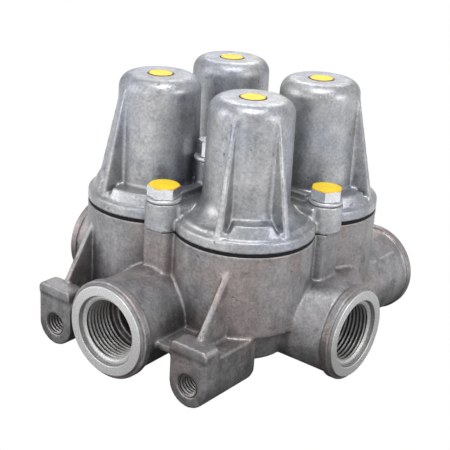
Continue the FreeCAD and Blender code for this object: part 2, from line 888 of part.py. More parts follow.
def washers(radius, hole, low, thickness, places):
    """Flat washers at several places."""
    top = low + thickness
    rings = []
    for x, y in places:
        rings.append(cut(rod(radius, low, top, x, y), [rod(hole, low, top, x, y)]))
    return Part.makeCompound(rings)


def build():
    """All nodes by name."""
    nodes = {
        "lower_housing": lower_housing(),
        "spring_cover": spring_cover(),
        "seal_sheet": seal_sheet(),
        "cover_bolts": cover_bolts(),
        "cover_washers": washers(
            washer_radius,
            bolt_radius + bolt_clearance,
            boss_top,
            washer_thickness,
            bolt_places,
        ),
        "inner_bolts": inner_bolts(),
        "inner_washers": washers(
            inner_washer_radius,
            inner_bolt_radius + bolt_clearance,
            inner_boss_top,
            inner_washer_thickness,
            inner_bolt_places,
        ),
    }
    makers = {
        "diaphragm": diaphragm,
        "valve_piston": valve_piston,
        "valve_rubber": valve_rubber,
        "spring_plate": spring_plate,
        "pressure_spring": pressure_spring,
        "spring_seat": spring_seat,
        "adjusting_screw": adjusting_screw,
        "seal_plug": seal_plug,
        "check_valve": check_valve,
        "check_spring": check_spring,
    }
    for circuit in circuits:
        for name, maker in makers.items():
            nodes[f"{name}_{circuit}"] = maker(circuit)
    return nodes


os.makedirs("parts", exist_ok=True)
for name, shape in build().items():
    shape.exportStep(f"parts/{name}.step")
    print(name, len(shape.Solids), "solids", round(shape.Volume, 1), "mm3", shape.isValid())
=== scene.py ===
import json
import logging
import math
import random
from dataclasses import dataclass, field
from enum import Enum
from typing import Callable, Iterable, Sequence, Union

import bmesh
import bpy
import numpy as np
from mathutils import Matrix, Vector

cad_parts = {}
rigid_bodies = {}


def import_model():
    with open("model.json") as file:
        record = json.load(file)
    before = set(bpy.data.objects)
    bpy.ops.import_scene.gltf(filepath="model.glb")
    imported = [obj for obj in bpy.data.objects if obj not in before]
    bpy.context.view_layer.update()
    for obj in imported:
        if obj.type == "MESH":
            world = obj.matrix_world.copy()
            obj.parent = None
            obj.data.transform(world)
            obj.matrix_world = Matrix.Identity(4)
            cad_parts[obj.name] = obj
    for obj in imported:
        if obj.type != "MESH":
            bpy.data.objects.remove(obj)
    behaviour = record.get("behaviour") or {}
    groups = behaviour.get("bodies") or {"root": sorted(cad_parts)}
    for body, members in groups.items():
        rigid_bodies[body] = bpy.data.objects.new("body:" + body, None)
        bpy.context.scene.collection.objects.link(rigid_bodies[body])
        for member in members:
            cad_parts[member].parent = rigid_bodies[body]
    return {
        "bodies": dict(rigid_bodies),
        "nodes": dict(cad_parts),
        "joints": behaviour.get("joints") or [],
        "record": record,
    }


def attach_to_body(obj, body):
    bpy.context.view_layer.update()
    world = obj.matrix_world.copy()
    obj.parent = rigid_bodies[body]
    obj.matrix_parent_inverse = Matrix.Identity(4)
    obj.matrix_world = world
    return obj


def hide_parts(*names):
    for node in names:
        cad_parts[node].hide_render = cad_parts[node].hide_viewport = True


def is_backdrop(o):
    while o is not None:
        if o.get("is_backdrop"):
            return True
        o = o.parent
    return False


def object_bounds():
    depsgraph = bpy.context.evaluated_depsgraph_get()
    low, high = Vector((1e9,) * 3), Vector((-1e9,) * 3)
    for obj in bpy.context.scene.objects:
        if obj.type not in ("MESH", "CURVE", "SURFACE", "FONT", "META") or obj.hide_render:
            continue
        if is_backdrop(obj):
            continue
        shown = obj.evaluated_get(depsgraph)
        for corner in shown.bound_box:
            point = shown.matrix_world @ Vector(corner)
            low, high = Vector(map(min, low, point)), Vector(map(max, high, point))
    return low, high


LOG = logging.getLogger("four_circuit_valve")
MM = 0.001
BODY = "valve_body"

Value = Union["Wire", float, int, Sequence[float]]
Colour = tuple[float, float, float]
Point = tuple[float, float, float]
Outline = Sequence[tuple[float, float]]

WHITE: Colour = (1.0, 1.0, 1.0)
# Colour of the outer edges: part worn metal, part painted highlight.
EDGE_WEAR_AND_HIGHLIGHT: Colour = (0.86, 0.87, 0.88)


class Wire:
    """One output of a node, usable in sums like a number."""

    def __init__(self, graph: "NodeGraph", socket: bpy.types.NodeSocket) -> None:
        """Keeps the tree and the socket that the wire comes from."""
        self.graph = graph
        self.socket = socket

    def _maths(self, kind: str, first: Value, second: Value = 0.0) -> "Wire":
        """Returns the outcome of a Math node."""
        return self.graph.node("ShaderNodeMath", {"operation": kind}, {0: first, 1: second})

    def __add__(self, other: Value) -> "Wire":
        """Returns the sum."""
        return self._maths("ADD", self, other)

    def __radd__(self, other: Value) -> "Wire":
        """Returns the sum, with the number in front."""
        return self._maths("ADD", other, self)

    def __sub__(self, other: Value) -> "Wire":
        """Returns the difference."""
        return self._maths("SUBTRACT", self, other)

    def __rsub__(self, other: Value) -> "Wire":
        """Returns the difference, with the number in front."""
        return self._maths("SUBTRACT", other, self)

    def __mul__(self, other: Value) -> "Wire":
        """Returns the product."""
        return self._maths("MULTIPLY", self, other)

    def __rmul__(self, other: Value) -> "Wire":
        """Returns the product, with the number in front."""
        return self._maths("MULTIPLY", other, self)

    def __abs__(self) -> "Wire":
        """Returns the value without its sign."""
        return self._maths("ABSOLUTE", self)

    def sine(self) -> "Wire":
        """Returns the sine of the value, taken in radians."""
        return self._maths("SINE", self)

    def ramp(self, low: float, high: float, to_low: float = 0.0, to_high: float = 1.0) -> "Wire":
        """Maps a range of the value to another range, smoothly and without leaving it.

        Args:
            low: value that becomes to_low.
            high: value that becomes to_high.
            to_low: result at and below low.
            to_high: result at and above high.

        Returns:
            The mapped value.
        """
        inputs = {0: self, 1: low, 2: high, 3: to_low, 4: to_high}
        return self.graph.node("ShaderNodeMapRange", {"interpolation_type": "SMOOTHSTEP"}, inputs)


class NodeGraph:
    """Node tree of a material, the world or a modifier."""

    def __init__(self, tree: bpy.types.NodeTree) -> None:
        """Takes over a tree and empties it."""
        self.tree = tree
        tree.nodes.clear()

    def node(
        self,
        kind: str,
        settings: dict[str, object] | None = None,
        inputs: dict[Union[int, str], Value] | None = None,
        output: Union[int, str] = 0,
    ) -> Wire:
        """Adds a node.

        Args:
            kind: node type.
            settings: attributes of the node.
            inputs: socket values or wires by name or index.
            output: output to hand back.

        Returns:
            The chosen output.
        """
        made = self.tree.nodes.new(kind)
        for name, value in (settings or {}).items():
            setattr(made, name, value)
        for name, value in (inputs or {}).items():
            self.put(made.inputs[name], value)
        return Wire(self, made.outputs[output] if made.outputs else made.inputs[0])

    def put(self, socket: bpy.types.NodeSocket, value: Value) -> None:
        """Links a wire to a socket or sets a constant on it.

        Args:
            socket: input of a node.
            value: wire, number, vector or colour; a colour without alpha gets an alpha of 1.
        """
        if isinstance(value, Wire):
            self.tree.links.new(value.socket, socket)
        elif isinstance(value, (int, float)):
            socket.default_value = value
        else:
            size = len(socket.default_value)
            socket.default_value = (*value, 1.0)[:size]

    def vector(self, kind: str, first: Value, second: Value = (0.0, 0.0, 0.0)) -> Wire:
        """Returns the outcome of a Vector Math node."""
        return self.node("ShaderNodeVectorMath", {"operation": kind}, {0: first, 1: second})

    def place(self, stretch: Sequence[float] = (1.0, 1.0, 1.0)) -> Wire:
        """Returns the object's own coordinates in millimetres, stretched per axis."""
        here = self.node("ShaderNodeTexCoord", output="Object")
        return self.vector("MULTIPLY", here, tuple(1.0 / (MM * part) for part in stretch))

    def radius(self, where: Wire) -> Wire:
        """Returns the distance from the Z axis."""
        flat = self.vector("MULTIPLY", where, (1.0, 1.0, 0.0))
        return self.node("ShaderNodeVectorMath", {"operation": "LENGTH"}, {0: flat}, "Value")

    def height(self, where: Wire) -> Wire:
        """Returns the Z part of a place."""
        return self.node("ShaderNodeSeparateXYZ", None, {0: where}, "Z")

    def scale(self, colour: Value, factor: Value) -> Wire:
        """Returns a colour made lighter or darker, or a longer or shorter vector."""
        return self.node("ShaderNodeVectorMath", {"operation": "SCALE"}, {0: colour, "Scale": factor})

    def mix(self, first: Value, second: Value, factor: Value) -> Wire:
        """Returns a blend of two colours."""
        settings = {"data_type": "RGBA", "clamp_factor": True}
        return self.node("ShaderNodeMix", settings, {0: factor, 6: first, 7: second}, 2)

    def background(self, for_others: Wire, white_kind: str) -> Wire:
        """Returns a shader that is plain white to the camera alone.

        Args:
            for_others: shader that lights and reflects.
            white_kind: node type of the white shader.

        Returns:
            The mixed shader.
        """
        seen = self.node("ShaderNodeLightPath", output="Is Camera Ray")
        white = self.node(white_kind, None, {"Color": WHITE})
        return self.node("ShaderNodeMixShader", None, {0: seen, 1: for_others, 2: white})


@dataclass(frozen=True)
class Pattern:
    """Noise mapped to a range, with its grain and shift in millimetres."""

    grain: float
    low: float = 0.35
    high: float = 0.65
    detail: float = 3.0
    roughness: float = 0.55
    shift: float = 0.0

    def noise(self, graph: NodeGraph, where: Wire) -> Wire:
        """Returns the plain noise.

        Args:
            graph: tree of the material.
            where: coordinates in millimetres.

        Returns:
            The noise, mostly from 0.3 to 0.7.
        """
        if self.shift:
            where = graph.vector("ADD", where, (self.shift, self.shift * 0.7, -self.shift))
        inputs = {
            "Vector": where, "Scale": 1.0 / self.grain, "Detail": self.detail, "Roughness": self.roughness,
        }
        return graph.node("ShaderNodeTexNoise", {"noise_dimensions": "3D"}, inputs)

    def on(self, graph: NodeGraph, where: Wire, least: float = 0.0, most: float = 1.0) -> Wire:
        """Returns the noise mapped from its own range to least and most."""
        return self.noise(graph, where).ramp(self.low, self.high, least, most)


class Surface:
    """Colour, roughness and normal of a material while its finish is put together."""

    def __init__(self, name: str) -> None:
        """Starts a material without any colour or relief.

        Args:
            name: name of the material.
        """
        self.made = bpy.data.materials.new(name)
        self.made.use_nodes = True
        self.graph = NodeGraph(self.made.node_tree)
        self.where = self.graph.place()
        self.colour: Value = WHITE
        self.rough: Value = 0.5
        self.normal: Wire | None = None

    def darken(self, share: Wire) -> None:
        """Takes a share of the colour's brightness away."""
        self.colour = self.graph.scale(self.colour, 1.0 - share)

    def relief(self, height: Wire, depth: float) -> None:
        """Adds relief for a height of 0 to 1.

        Args:
            height: height at each place.
            depth: what a height of 1 stands for, in millimetres.
        """
        inputs: dict[Union[int, str], Value] = {"Strength": 1.0, "Distance": depth * MM, "Height": height}
        if self.normal is not None:
            inputs["Normal"] = self.normal
        self.normal = self.graph.node("ShaderNodeBump", None, inputs)

    def material(self, settings: dict[Union[int, str], Value]) -> bpy.types.Material:
        """Closes the material with a Principled shader.

        Args:
            settings: constants of the shader by socket name.

        Returns:
            The material.
        """
        inputs = {"Base Color": self.colour, "Roughness": self.rough, **settings}
        if self.normal is not None:
            inputs["Normal"] = self.normal
        shader = self.graph.node("ShaderNodeBsdfPrincipled", None, inputs)
        self.graph.node("ShaderNodeOutputMaterial", None, {"Surface": shader})
        return self.made


@dataclass(frozen=True)
class Metal:
    """Finish of a cast, turned or plated metal surface, with lengths in millimetres.

    Attributes:
        name: name of the material.
        base: main colour.
        second: colour of the blotches.
        roughness: mean roughness.
        metallic: how metallic the surface is.
        blotch: width of the blotches.
        grain: width of the fine grain.
        grain_depth: depth of the fine grain.
        tint: colour of wide patches.
        stain: how much the stains darken.
        edge: how much the outer edges lighten, as wear and as a painted highlight.
        crease: how much painted shade darkens the inner corners.
        pits: depth of the pits.
        mottle: how strong the small clouds and drawn streaks are.
        shade: how much painted shade darkens the hollows.
        lathe: depth of the turning marks.
        lathe_rate: turning marks in tau millimetres.
        well: radius outside which painted shade darkens a sunk face.
        root: radius at which the painted shade in a thread's root is darkest.
    """

    name: str
    base: Colour
    second: Colour
    roughness: float
    metallic: float = 1.0
    blotch: float = 14.0
    grain: float = 0.9
    grain_depth: float = 0.08
    tint: Colour | None = None
    stain: float = 0.0
    edge: float = 0.0
    crease: float = 0.0
    pits: float = 0.0
    mottle: float = 0.0
    shade: float = 0.0
    lathe: float = 0.0
    lathe_rate: float = 21.0
    well: float = 0.0
    root: float = 0.0

    def ground(self, surface: Surface) -> None:
        """Lays down the blotched colour, the roughness and the fine grain.

        Args:
            surface: what the finish is put on.
        """
        graph, where = surface.graph, surface.where
        blotches = Pattern(self.blotch, 0.36, 0.64, detail=5.0, roughness=0.62).on(graph, where)
        fine = Pattern(self.grain, detail=4.0, roughness=0.6).noise(graph, where)
        surface.colour = graph.mix(self.base, self.second, blotches)
        if self.tint:
            patches = Pattern(self.blotch * 1.7, 0.42, 0.66, roughness=0.5, shift=113.0).on(graph, where)
            surface.colour = graph.mix(surface.colour, self.tint, patches)
        surface.colour = graph.scale(surface.colour, fine.ramp(0.3, 0.7, 0.84, 1.13))
        surface.rough = blotches.ramp(0.0, 1.0, self.roughness - 0.04, self.roughness + 0.05)
        surface.relief(fine, self.grain_depth)

    def mottled(self, surface: Surface) -> None:
        """Adds small clouds and upright drawn streaks.

        Args:
            surface: what the finish is put on.
        """
        graph = surface.graph
        clouds = Pattern(4.5, detail=4.0, roughness=0.65, shift=25.0).on(graph, surface.where)
        streaks = Pattern(3.2, roughness=0.6).on(graph, graph.place((1.0, 1.0, 7.0)))
        change = (clouds * 2.0 - 1.0 + streaks) * self.mottle
        surface.colour = graph.scale(surface.colour, change * 0.7 + 1.0)
        surface.rough = surface.rough + (clouds - 0.5) * 0.1

    def pitted(self, surface: Surface) -> None:
        """Adds pits in some zones.

        Args:
            surface: what the finish is put on.
        """
        holes = Pattern(1.7, 0.66, 0.74, detail=2.0, roughness=0.5).on(surface.graph, surface.where)
        zones = Pattern(20.0, 0.5, 0.62, detail=2.0, shift=-40.0).on(surface.graph, surface.where)
        depth = holes * zones
        surface.relief(1.0 - depth, self.pits)
        surface.darken(depth * 0.35)

    def stained(self, surface: Surface) -> None:
        """Adds dark and duller stains.

        Args:
            surface: what the finish is put on.
        """
        stains = Pattern(6.0, 0.56, 0.72, detail=6.0, roughness=0.7)
        marks = stains.on(surface.graph, surface.where, 0.0, self.stain)
        surface.darken(marks)
        surface.rough = surface.rough + marks * 0.2

    def edge_wear_and_painted_light(self, surface: Surface) -> None:
        """Lightens the outer edges, as wear and as a painted highlight, and paints shade into the inner
        corners.

        Args:
            surface: what the finish is put on.
        """
        bend = surface.graph.node("ShaderNodeNewGeometry", output="Pointiness")
        # Outer edges lightened: part wear, part painted highlight.
        wear_and_highlight = bend.ramp(0.52, 0.60, 0.0, self.edge)
        surface.colour = surface.graph.mix(surface.colour, EDGE_WEAR_AND_HIGHLIGHT, wear_and_highlight)
        # Painted shade in the inner corners.
        surface.darken(bend.ramp(0.40, 0.485, self.crease, 0.0))
        surface.rough = surface.rough - wear_and_highlight * 0.1

    def shaded(self, surface: Surface, reach: float = 13.0) -> None:
        """Paints shade into the hollows.

        Args:
            surface: what the finish is put on.
            reach: how near a wall darkens its neighbour, in millimetres.
        """
        inputs = {"Distance": reach * MM}
        # Painted shade in the hollows, from ambient occlusion.
        free = surface.graph.node("ShaderNodeAmbientOcclusion", {"samples": 6}, inputs, "AO")
        surface.colour = surface.graph.scale(surface.colour, free.ramp(0.1, 0.85, 1.0 - self.shade, 1.0))

    def turned(self, surface: Surface) -> None:
        """Adds turning marks, and paints shade on a sunk face and in a thread's root.

        Args:
            surface: what the finish is put on, with Z as the axis.
        """
        graph = surface.graph
        reach = graph.radius(surface.where)
        if self.lathe:
            surface.relief((reach * self.lathe_rate).sine(), self.lathe)
        if self.well:
            # Painted shade on the sunk face of the recess.
            sunk = graph.height(surface.where).ramp(-0.35, -0.1, 1.0, 0.0)
            surface.darken(sunk * reach.ramp(self.well, self.well + 0.3) * 0.5)
        if self.root:
            # Painted shade in the thread's root, darkest at the bore.
            surface.darken(reach.ramp(self.root - 0.55, self.root - 0.1, 0.0, 0.7))

    def material(self) -> bpy.types.Material:
        """Puts the whole finish together.

        Returns:
            The material.
        """
        surface = Surface(self.name)
        self.ground(surface)
        if self.mottle:
            self.mottled(surface)
        if self.pits:
            self.pitted(surface)
        if self.stain:
            self.stained(surface)
        if self.edge or self.crease:
            self.edge_wear_and_painted_light(surface)
        if self.shade:
            self.shaded(surface)
        if self.lathe or self.well or self.root:
            self.turned(surface)
        return surface.material({"Metallic": self.metallic})


@dataclass(frozen=True)
class Soft:
    """Finish of rubber or paint, with lengths in millimetres.

    Attributes:
        name: name of the material.
        base: main colour.
        second: colour of the patches.
        roughness: mean roughness.
        coat: weight of a clear coat.
        grain_depth: depth of the fine grain.
        shine: how much the surface mirrors.
        hub: how far the middles of the painted spots lie from both planes of symmetry.
        rim_radius: radius from which a spot's rim is darker, or 0 for none.
        rim: colour of that rim.
    """

    name: str
    base: Colour
    second: Colour
    roughness: float
    coat: float = 0.0
    grain_depth: float = 0.03
    shine: float = 0.5
    hub: float = 0.0
    rim_radius: float = 0.0
    rim: Colour = (0.30, 0.17, 0.03)

    def rimmed(self, surface: Surface) -> None:
        """Darkens the ragged rim of each painted spot.

        Args:
            surface: what the finish is put on.
        """
        graph, where = surface.graph, surface.where
        folded = graph.vector("ABSOLUTE", where)
        off = graph.vector("SUBTRACT", folded, (self.hub, self.hub, 0.0))
        ragged = Pattern(2.6, detail=2.0).noise(graph, where)
        reach = graph.radius(off) + ragged * 0.9 - 0.45
        rim = reach.ramp(self.rim_radius - 0.3, self.rim_radius + 0.1)
        surface.colour = graph.mix(surface.colour, self.rim, rim)

    def material(self) -> bpy.types.Material:
        """Puts the whole finish together.

        Returns:
            The material.
        """
        surface = Surface(self.name)
        patches = Pattern(2.2).on(surface.graph, surface.where)
        surface.colour = surface.graph.mix(self.base, self.second, patches)
        surface.rough = patches.ramp(0.0, 1.0, self.roughness - 0.04, self.roughness + 0.05)
        surface.relief(Pattern(0.8).noise(surface.graph, surface.where), self.grain_depth)
        if self.rim_radius:
            self.rimmed(surface)
        return surface.material({"Coat Weight": self.coat, "Specular IOR Level": self.shine})


class Finish(Enum):
    """All finishes of the valve."""

    COVER = Metal(
        "cover_aluminium", (0.49, 0.493, 0.495), (0.385, 0.388, 0.395), roughness=0.43, metallic=0.9,
        tint=(0.40, 0.415, 0.46), stain=0.3, edge=0.3, crease=0.6, pits=0.15, mottle=0.13, shade=0.45,
    )
    HOUSING = Metal(
        "housing_aluminium", (0.30, 0.30, 0.305), (0.38, 0.372, 0.377), roughness=0.45, metallic=0.86,
        tint=(0.35, 0.305, 0.30), stain=0.35, edge=0.3, crease=0.65, pits=0.16, mottle=0.16, shade=0.58,
    )
    MACHINED = Metal(
        "machined_aluminium", (0.80, 0.80, 0.795), (0.73, 0.73, 0.725), roughness=0.5, metallic=0.75,
        blotch=9.0, grain=0.5, grain_depth=0.01, lathe=0.02, well=11.75,
    )
    THREAD = Metal(
        "thread_aluminium", (0.43, 0.43, 0.42), (0.35, 0.345, 0.33), roughness=0.5, metallic=0.8,
        blotch=6.0, grain=0.5, grain_depth=0.01, root=11.0,
    )
    EAR_THREAD = Metal(
        "ear_thread", (0.42, 0.41, 0.40), (0.34, 0.33, 0.32), roughness=0.48, metallic=0.85,
        blotch=4.0, grain=0.5, grain_depth=0.01, root=4.0,
    )
    ZINC = Metal(
        "zinc_plating", (0.80, 0.81, 0.83), (0.72, 0.74, 0.76), roughness=0.26,
        blotch=3.0, grain=0.4, grain_depth=0.01,
    )
    WASHER = Metal(
        "washer_plating", (0.66, 0.67, 0.69), (0.58, 0.59, 0.61), roughness=0.44, metallic=0.85,
        blotch=3.0, grain=0.4, grain_depth=0.01,
    )
    TURNED = Metal(
        "turned_aluminium", (0.66, 0.66, 0.68), (0.58, 0.58, 0.60), roughness=0.32,
        blotch=7.0, grain=0.5, grain_depth=0.012,
    )
    SPRING = Metal(
        "spring_wire", (0.30, 0.30, 0.31), (0.22, 0.22, 0.23), roughness=0.34,
        blotch=5.0, grain=0.5, grain_depth=0.015,
    )
    RUBBER = Soft("black_rubber", (0.008, 0.008, 0.009), (0.016, 0.016, 0.017), roughness=0.7, shine=0.2)
    PAINT = Soft(
        "yellow_paint", (0.98, 0.66, 0.006), (1.0, 0.76, 0.02), roughness=0.45, coat=0.1,
        grain_depth=0.08, rim_radius=5.05, rim=(0.86, 0.44, 0.01),
    )
    DOT = Soft(
        "yellow_dot", (0.96, 0.64, 0.006), (1.0, 0.73, 0.02), roughness=0.42, coat=0.1,
        grain_depth=0.05, hub=20.2, rim_radius=4.1,
    )


class Slot(Enum):
    """Material slots of the record."""

    HOUSING = "housing_casting"
    COVER = "cover_casting"
    RUBBER = "rubber"
    ZINC = "zinc_steel"
    SPRING = "spring_steel"
    TURNED = "turned_aluminium"
    SEAL = "yellow_seal"


class FinishShelf:
    """Keeps each finish's material once."""

    def __init__(self) -> None:
        """Starts without any material."""
        self._made: dict[Finish, bpy.types.Material] = {}

    def __getitem__(self, finish: Finish) -> bpy.types.Material:
        """Returns the material of a finish, made when it is first asked for."""
        if finish not in self._made:
            self._made[finish] = finish.value.material()
        return self._made[finish]

    def dress(self, piece: bpy.types.Object, finish: Finish) -> None:
        """Gives a piece one finish and nothing else."""
        piece.data.materials.clear()
        piece.data.materials.append(self[finish])


Builder = Callable[[FinishShelf], list[bpy.types.Object]]


def piece_from(
    name: str,
    points: Sequence[Point],
    faces: Iterable[Sequence[int]],
    crease: float = 30.0,
    weld: bool = False,
) -> bpy.types.Object:
    """Makes a mesh object from points in millimetres.

    Args:
        name: name of the object.
        points: one row per point, in millimetres.
        faces: point numbers of each face.
        crease: angle in degrees above which an edge is shaded sharp.
        weld: whether points in one place are joined.

    Returns:
        The new object, linked to the scene.
    """
    mesh = bpy.data.meshes.new(name)
    mesh.from_pydata((np.array(points, float) * MM).tolist(), [], [tuple(face) for face in faces])
    mesh.validate()
    work = bmesh.new()
    work.from_mesh(mesh)
    if weld:
        bmesh.ops.remove_doubles(work, verts=work.verts, dist=1e-4 * MM)
    bmesh.ops.recalc_face_normals(work, faces=work.faces)
    work.to_mesh(mesh)
    work.free()
    mesh.polygons.foreach_set("use_smooth", [True] * len(mesh.polygons))
    mesh.set_sharp_from_angle(angle=math.radians(crease))
    made = bpy.data.objects.new(name, mesh)
    bpy.context.scene.collection.objects.link(made)
    return made


def grid_faces(rows: int, columns: int, closed_rows: bool = False) -> list[tuple[int, int, int, int]]:
    """Makes quads between neighbouring rows and columns of a grid of points.

    Args:
        rows: number of rows.
        columns: points in each row.
        closed_rows: whether the last row joins the first.

    Returns:
        Point numbers of each quad.
    """
    faces = []
    for row in range(rows if closed_rows else rows - 1):
        after = (row + 1) % rows
        for column in range(columns - 1):
            faces.append((
                row * columns + column,
                after * columns + column,
                after * columns + column + 1,
                row * columns + column + 1,
            ))
    return faces


@dataclass(frozen=True)
class Spot:
    """Place of an upright fastener in millimetres, and how far its head is turned, in degrees."""

    x: float = 0.0
    y: float = 0.0
    turn: float = 0.0


def spun_piece(
    name: str,
    outline: Callable[[float], Outline],
    spots: Iterable[Spot],
    steps: int,
    crease: float,
) -> bpy.types.Object:
    """Turns an outline round an upright axis at each spot, and joins the results in one object.

    Args:
        name: name of the object.
        outline: gives the pairs of radius and height for a direction in radians.
        spots: places of the axes.
        steps: number of directions.
        crease: angle in degrees above which an edge is shaded sharp.

    Returns:
        The new object.
    """
    points: list[Point] = []
    faces: list[tuple[int, ...]] = []
    for spot in spots:
        start = len(points)
        for step in range(steps):
            angle = math.tau * step / steps
            ahead = angle + math.radians(spot.turn)
            points.extend(
                (spot.x + reach * math.cos(ahead), spot.y + reach * math.sin(ahead), height)
                for reach, height in outline(angle)
            )
        grid = grid_faces(steps, (len(points) - start) // steps, True)
        faces.extend(tuple(start + number for number in face) for face in grid)
    return piece_from(name, points, faces, crease, weld=True)


@dataclass(frozen=True)
class Mouth:
    """Where a bore opens: centre of its mouth and the direction it looks to, in millimetres."""

    name: str
    centre: Point
    outward: Point

    def frame(self) -> Matrix:
        """Returns the matrix that puts +Z along the outward direction, in metres."""
        turn = Vector((0, 0, 1)).rotation_difference(Vector(self.outward)).to_matrix().to_4x4()
        return Matrix.Translation(Vector(self.centre) * MM) @ turn


@dataclass(frozen=True)
class ThreadForm:
    """Internal thread shown as a helical ridge from its bore's radius to its crest, in millimetres.

    Each point of the ridge is a share of the pitch and of the height. The ridge fades over run_out turns at
    both ends.
    """

    bore: float
    crest: float
    pitch: float
    start: float
    length: float
    steps: int = 96
    run_out: float = 0.8
    crease: float = 20.0
    ridge: Outline = ((0.0, 0.0), (0.06, 0.0), (0.44, 1.0), (0.56, 1.0), (0.94, 0.0), (1.0, 0.0))

    def build(self, name: str, mouth: Mouth) -> bpy.types.Object:
        """Makes the thread's surface.

        Args:
            name: name of the piece.
            mouth: mouth of the bore.

        Returns:
            The piece.
        """
        turns = self.length / self.pitch
        count = int(turns * self.steps)
        rows = []
        for step in range(count + 1):
            turn = step / self.steps
            angle = math.tau * turn
            fade = max(0.0, min(1.0, turn / self.run_out, (turns - turn) / self.run_out))
            for part, height in self.ridge:
                reach = self.bore - (self.bore - self.crest) * height * fade
                depth = min(-(self.start + (turn + part - 1.0) * self.pitch), -self.start)
                rows.append((reach * math.cos(angle), reach * math.sin(angle), depth))
        made = piece_from(name, rows, grid_faces(count + 1, len(self.ridge)), self.crease)
        made.matrix_world = mouth.frame()
        return made


@dataclass(frozen=True)
class TurnedRing:
    """Turned ring at the mouth of a bore, in millimetres."""

    profile: Outline
    steps: int = 144
    crease: float = 30.0
    bevel_width: float = 0.12
    bevel_angle: float = 28.0

    def build(self, name: str, mouth: Mouth) -> bpy.types.Object:
        """Makes the ring, with a narrow bevel on its sharp edges.

        Args:
            name: name of the piece.
            mouth: where its Z axis starts and points to.

        Returns:
            The piece.
        """
        made = spun_piece(name, lambda angle: self.profile, [Spot()], self.steps, self.crease)
        bevel = made.modifiers.new("edges", "BEVEL")
        bevel.width = self.bevel_width * MM
        bevel.segments = 2
        bevel.limit_method = "ANGLE"
        bevel.angle_limit = math.radians(self.bevel_angle)
        made.matrix_world = mouth.frame()
        return made


@dataclass(frozen=True)
class Ports:
    """The five threaded ports: machined ring, seal recess, thread and collar, in millimetres."""

    ring: float = 15.75
    ring_edge: float = 0.16
    recess: float = 12.38
    recess_edge: float = 0.14
    recess_depth: float = 1.55
    recess_seat: float = 0.6
    rim: float = 11.25
    rim_height: float = 0.1
    countersink: float = 10.5
    countersink_depth: float = 0.45
    countersink_end: float = 10.45
    countersink_end_depth: float = 0.6
    bore: float = 11.0
    crest: float = 10.15
    pitch: float = 1.5
    thread_length: float = 12.6
    film: float = 0.03
    collar: float = 17.2
    collar_root: float = 15.55
    collar_start: float = -1.25
    collar_end: float = -4.2
    collar_edge: float = 0.3
    neck: float = 16.3
    places: tuple[Mouth, ...] = (
        Mouth("supply", (0, -66.5, 24.9), (0, -1, 0)),
        Mouth("circuit_21", (-68.6, 0, 20.6), (-1, 0, 0)),
        Mouth("circuit_22", (57.4, 0, 20.6), (1, 0, 0)),
        Mouth("circuit_23", (29.8, 58.6, 20.6), (0, 1, 0)),
        Mouth("circuit_24", (-29.8, 58.6, 20.6), (0, 1, 0)),
    )

    def face_profile(self) -> Outline:
        """Returns radius and height pairs of the machined face, from its outer edge inwards."""
        floor = -self.recess_depth
        return (
            (self.ring + self.film, self.collar_start),
            (self.ring + self.film, -self.ring_edge),
            (self.ring - self.ring_edge, 0.0),
            (self.recess + self.recess_edge, 0.0),
            (self.recess, -self.recess_edge),
            (self.recess, floor),
            (self.recess - self.recess_seat, floor),
            (self.rim, floor + self.rim_height),
            (self.countersink, floor - self.countersink_depth),
            (self.countersink_end, floor - self.countersink_end_depth),
        )

    def collar_profile(self) -> Outline:
        """Returns radius and height pairs of the collar behind the face."""
        outer = self.collar + self.film
        return (
            (self.collar_root, self.collar_start),
            (outer - self.collar_edge, self.collar_start),
            (outer, self.collar_start - self.collar_edge),
            (outer, self.collar_end + self.collar_edge),
            (outer - self.collar_edge, self.collar_end),
            (self.neck, self.collar_end),
        )

    def build(self, shelf: FinishShelf) -> list[bpy.types.Object]:
        """Makes the machined pieces of all ports.

        Args:
            shelf: the finishes.

        Returns:
            The face, thread and collar of each port.
        """
        start = self.recess_depth + self.countersink_depth
        ring = TurnedRing(self.face_profile())
        thread = ThreadForm(self.bore - self.film, self.crest, self.pitch, start, self.thread_length)
        collar = TurnedRing(self.collar_profile())
        made = []
        for mouth in self.places:
            for kind, form, finish in (
                ("face", ring, Finish.MACHINED),
                ("thread", thread, Finish.THREAD),
                ("collar", collar, Finish.HOUSING),
            ):
                piece = form.build(f"port_{kind}_{mouth.name}", mouth)
                shelf.dress(piece, finish)
                made.append(piece)
        return made


@dataclass(frozen=True)
class EarThreads:
    """Threads in the two mounting ears, in millimetres."""

    offset: float = 30.9
    height: float = 14.1
    face: float = -60.1
    thread: ThreadForm = ThreadForm(bore=3.97, crest=3.32, pitch=1.25, start=0.35, length=14.0, steps=64)

    def build(self, shelf: FinishShelf) -> list[bpy.types.Object]:
        """Makes the thread of each ear.

        Args:
            shelf: the finishes.

        Returns:
            The left and the right thread.
        """
        made = []
        for side, place in (("left", -self.offset), ("right", self.offset)):
            mouth = Mouth(side, (place, self.face, self.height), (0, -1, 0))
            piece = self.thread.build(f"ear_thread_{side}", mouth)
            shelf.dress(piece, Finish.EAR_THREAD)
            made.append(piece)
        return made


